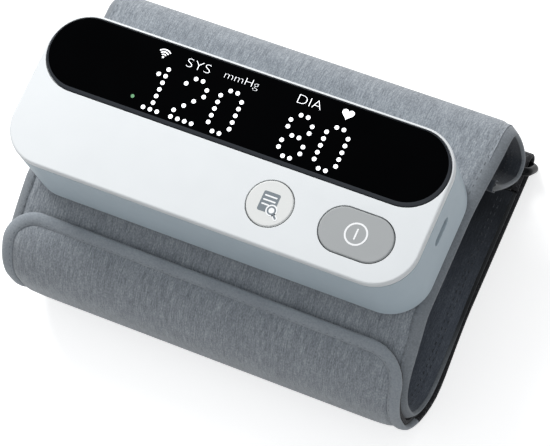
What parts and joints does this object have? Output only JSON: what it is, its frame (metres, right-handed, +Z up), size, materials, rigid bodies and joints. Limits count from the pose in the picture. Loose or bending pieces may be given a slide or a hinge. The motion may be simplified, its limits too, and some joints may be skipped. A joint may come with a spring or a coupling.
{
  "type": "blood pressure cuff",
  "caption": "Upper-arm blood pressure cuff with a display unit on top, sprung buttons, a draw ring and a peel-open flap.",
  "frame": {"origin": "on the resting surface, under the middle of the object", "axes": "+X along the arm and the display, +Y from the flap to the draw ring, +Z up through the display"},
  "size_m": [0.1526, 0.107, 0.0838],
  "materials": {
    "cover_white": "satin moulded white, cool",
    "housing_grey": "satin moulded blue grey",
    "lens_black": "polished black display window",
    "display_light": "lit white display dots and legends",
    "status_green": "lit green status dot",
    "button_white": "satin warm white",
    "button_grey": "satin light grey",
    "icon_grey": "printed pictogram on a button",
    "icon_white": "printed pictogram on a button",
    "cuff_fabric": "heather grey brushed knit",
    "binding_grey": "smooth grey binding tape",
    "lining_dark": "charcoal laminated lining",
    "hook_black": "black hook tape",
    "stitch": "dark sewing thread",
    "ring_black": "gloss black coated wire",
    "plastic_dark": "dark moulded plastic",
    "board_green": "circuit board with solder mask",
    "steel": "plain steel",
    "silicone": "milky silicone and film",
    "battery_wrap": "shrink wrapped cell"
  },
  "bodies": {
    "cuff_and_monitor": {"base_housing": "housing_grey", "top_cover": "cover_white", "display_lens": "lens_black", "memory_switch": "plastic_dark", "power_switch": "plastic_dark", "display_board": "board_green", "status_led": "status_green", "pulse_led": "display_light", "main_board": "board_green", "battery_cell": "battery_wrap", "usb_board": "board_green", "usb_socket": "steel", "pump_motor": "steel", "pump_head": "plastic_dark", "pump_cradle": "silicone", "air_manifold": "plastic_dark", "valve_body": "plastic_dark", "air_tube": "silicone", "pressure_sensor": "plastic_dark", "sensor_tube": "silicone", "cuff_outer_fabric": "cuff_fabric", "shaping_sheet": "plastic_dark", "air_bladder": "silicone", "cuff_lining": "lining_dark", "edge_binding_left": "binding_grey", "edge_binding_right": "binding_grey", "mounting_plate": "plastic_dark", "bladder_port": "silicone", "tail_strip": "cuff_fabric", "tail_hook_strip": "hook_black", "d_ring_sleeve": "binding_grey", "housing_screw_1": "steel", "housing_screw_2": "steel", "housing_screw_3": "steel", "housing_screw_4": "steel", "led_module_1": "plastic_dark", "led_module_2": "plastic_dark", "led_module_3": "plastic_dark", "led_module_4": "plastic_dark", "led_module_5": "plastic_dark", "led_module_6": "plastic_dark"},
    "memory_key": {"memory_button": "button_white"},
    "power_key": {"power_button": "button_grey"},
    "crank": {"pump_crank": "steel"},
    "plunger": {"valve_plunger": "steel"},
    "ring": {"d_ring": "ring_black"},
    "flap": {"flap_panel": "cuff_fabric", "flap_binding": "binding_grey", "flap_hook_strip": "hook_black"}
  },
  "joints": [
    {"name": "memory_press", "type": "slide", "parent": "cuff_and_monitor", "child": "memory_key", "axis": [0, 0, -1], "range_m": [0, 0.0008], "stiffness_N_per_m": 900},
    {"name": "power_press", "type": "slide", "parent": "cuff_and_monitor", "child": "power_key", "axis": [0, 0, -1], "range_m": [0, 0.0008], "stiffness_N_per_m": 900},
    {"name": "pump_turn", "type": "hinge", "parent": "cuff_and_monitor", "child": "crank", "pos_m": [-0.025, 0.0095, 0.067], "axis": [1, 0, 0], "continuous": true},
    {"name": "valve_travel", "type": "slide", "parent": "cuff_and_monitor", "child": "plunger", "axis": [-1, 0, 0], "range_m": [0, 0.0007], "stiffness_N_per_m": 300},
    {"name": "ring_swing", "type": "hinge", "parent": "cuff_and_monitor", "child": "ring", "pos_m": [0, 0.0436, 0.0136], "axis": [1, 0, 0], "range_deg": [-4, 4]},
    {"name": "flap_peel", "type": "hinge", "parent": "cuff_and_monitor", "child": "flap", "pos_m": [0, -0.05078, 0.01096], "axis": [1, 0, 0], "range_deg": [0, 100]}
  ]
}
